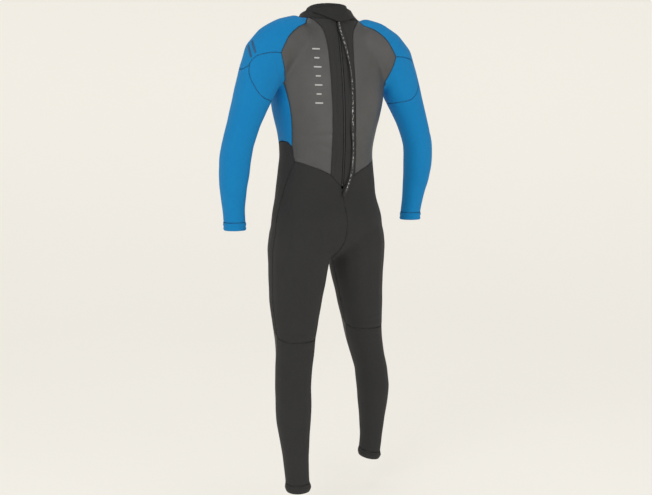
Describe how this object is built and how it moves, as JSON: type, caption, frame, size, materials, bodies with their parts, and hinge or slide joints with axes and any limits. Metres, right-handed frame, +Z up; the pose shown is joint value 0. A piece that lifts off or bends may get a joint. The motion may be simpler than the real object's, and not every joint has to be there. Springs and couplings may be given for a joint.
{
  "type": "full wetsuit",
  "caption": "Full-length back-zip wetsuit of sewn neoprene panels, worn mid-stride, with a closing collar flap and a webbing pull leash.",
  "frame": {"origin": "base of the neck on the body axis, 1500 mm above the wearer's soles", "axes": "+Z up, chest towards -Y, the wearer's left at +X"},
  "size_m": [0.7448, 0.2931, 1.4694],
  "materials": {
    "smooth_skin": "satin smooth-skin neoprene with a fine embossed mesh",
    "blue_jersey": "matte stretch jersey laminated on neoprene",
    "black_jersey": "matte stretch jersey laminated on neoprene",
    "knee_rubber": "matte abrasion-resistant print on neoprene",
    "cuff_jersey": "matte stretch jersey hem band",
    "collar_jersey": "matte stretch jersey laminated on neoprene",
    "seal_skin": "soft satin smooth-skin neck seal",
    "lining": "brushed inner jersey",
    "tape": "woven polyester tape",
    "zip_teeth": "moulded zip teeth",
    "slider_metal": "corrosion-proof plated metal",
    "webbing": "flat black webbing with woven light flecks"
  },
  "bodies": {
    "suit": {"left_back_panel": "smooth_skin", "right_back_panel": "smooth_skin", "chest_panel": "smooth_skin", "left_shoulder_panel": "blue_jersey", "right_shoulder_panel": "blue_jersey", "left_sleeve": "blue_jersey", "right_sleeve": "blue_jersey", "left_underarm_panel": "blue_jersey", "right_underarm_panel": "blue_jersey", "left_zip_panel": "black_jersey", "right_zip_panel": "black_jersey", "left_seat_panel": "black_jersey", "right_seat_panel": "black_jersey", "front_body_panel": "black_jersey", "left_cuff_band": "cuff_jersey", "right_cuff_band": "cuff_jersey", "collar": "collar_jersey", "neck_seal": "seal_skin", "zip_backing_flap": "lining", "left_zip_tape": "tape", "right_zip_tape": "tape", "hook_patch": "tape", "left_zip_chain": "zip_teeth", "right_zip_chain": "zip_teeth", "bottom_stop": "slider_metal", "left_top_stop": "slider_metal", "right_top_stop": "slider_metal"},
    "slider": {"zip_slider": "slider_metal"},
    "leash": {"zip_pull_tab": "slider_metal", "pull_leash": "webbing", "leash_end_tab": "tape"},
    "flap": {"collar_flap": "collar_jersey", "loop_patch": "tape"},
    "left_shank": {"left_lower_leg_panel": "black_jersey", "left_knee_pad": "knee_rubber", "left_ankle_band": "black_jersey"},
    "right_shank": {"right_lower_leg_panel": "black_jersey", "right_knee_pad": "knee_rubber", "right_ankle_band": "black_jersey"}
  },
  "joints": [
    {"name": "zip_travel", "type": "hinge", "parent": "suit", "child": "slider", "pos_m": [0, -1.17063, -0.31688], "axis": [-1, 0, 0], "range_deg": [0, 21.9]},
    {"name": "leash_swing", "type": "hinge", "parent": "slider", "child": "leash", "pos_m": [0, 0.06925, 0.0173], "axis": [1, 0, 0], "range_deg": [0, 27.5]},
    {"name": "collar_flap_open", "type": "hinge", "parent": "suit", "child": "flap", "pos_m": [-0.0703, 0.0448, 0.03], "axis": [0, 0, 1], "range_deg": [0, 65]},
    {"name": "left_knee_bend", "type": "hinge", "parent": "suit", "child": "left_shank", "pos_m": [0.147, 0.1245, -0.952], "axis": [1, 0, 0], "range_deg": [0, 70], "stiffness_Nm_per_rad": 3, "springref_deg": -6.88},
    {"name": "right_knee_bend", "type": "hinge", "parent": "suit", "child": "right_shank", "pos_m": [-0.147, 0.0495, -0.952], "axis": [1, 0, 0], "range_deg": [0, 70], "stiffness_Nm_per_rad": 3, "springref_deg": -6.88}
  ],
  "couplings": [
    {"joint": "leash_swing", "follows": "zip_travel", "ratio": 1.25}
  ]
}
